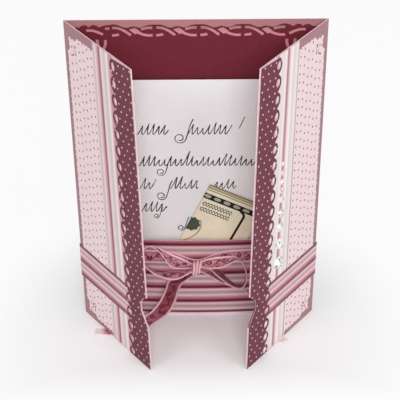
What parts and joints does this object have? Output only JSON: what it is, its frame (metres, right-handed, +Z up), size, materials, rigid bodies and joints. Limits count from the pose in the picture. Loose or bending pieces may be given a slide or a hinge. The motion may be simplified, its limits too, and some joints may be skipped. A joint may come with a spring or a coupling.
{
  "type": "gatefold gift voucher card",
  "caption": "Open gatefold gift card with punched and striped papers, a pocket with a folded voucher slip, a ribbon bow and rhinestones.",
  "frame": {"origin": "the middle of the footprint, on the table", "axes": "+Z up along the card's folds, +X to the right as seen from the open front, -Y out of the open front"},
  "size_m": [0.1514, 0.0611, 0.21],
  "materials": {
    "mauve_card": "satin mauve card stock with pale cut edges",
    "burgundy_paper": "matt burgundy paper",
    "white_paper": "matt white writing paper with black pen scrolls",
    "striped_paper": "matt paper printed with maroon, rose, grey and pale stripes",
    "voucher_paper": "cream voucher paper with dark green and black ornament",
    "rose_ribbon": "sheer dusty rose ribbon with paler woven edges",
    "band_paper": "matt paper printed with maroon, pink and grey stripes",
    "pale_dotted_paper": "matt pale pink paper with small dark dots",
    "pale_striped_paper": "matt paper printed with pale pink, grey and mauve stripes",
    "dark_dotted_paper": "matt dark plum paper with small pale dots",
    "clear_stone": "clear faceted stone with a silvered back"
  },
  "bodies": {
    "root": {"card_base": "mauve_card", "liner_panel": "burgundy_paper", "letter_sheet": "white_paper", "pocket": "striped_paper", "folded_voucher": "voucher_paper", "ribbon": "rose_ribbon", "belly_band": "band_paper", "left_dotted_panel": "pale_dotted_paper", "right_dotted_panel": "pale_dotted_paper", "left_striped_strip": "pale_striped_paper", "right_striped_strip": "pale_striped_paper", "left_scalloped_strip": "dark_dotted_paper", "right_scalloped_strip": "dark_dotted_paper", "rhinestone_1": "clear_stone", "rhinestone_2": "clear_stone", "rhinestone_3": "clear_stone", "rhinestone_4": "clear_stone", "rhinestone_5": "clear_stone", "rhinestone_6": "clear_stone", "rhinestone_7": "clear_stone", "rhinestone_8": "clear_stone", "rhinestone_9": "clear_stone"}
  },
  "joints": []
}
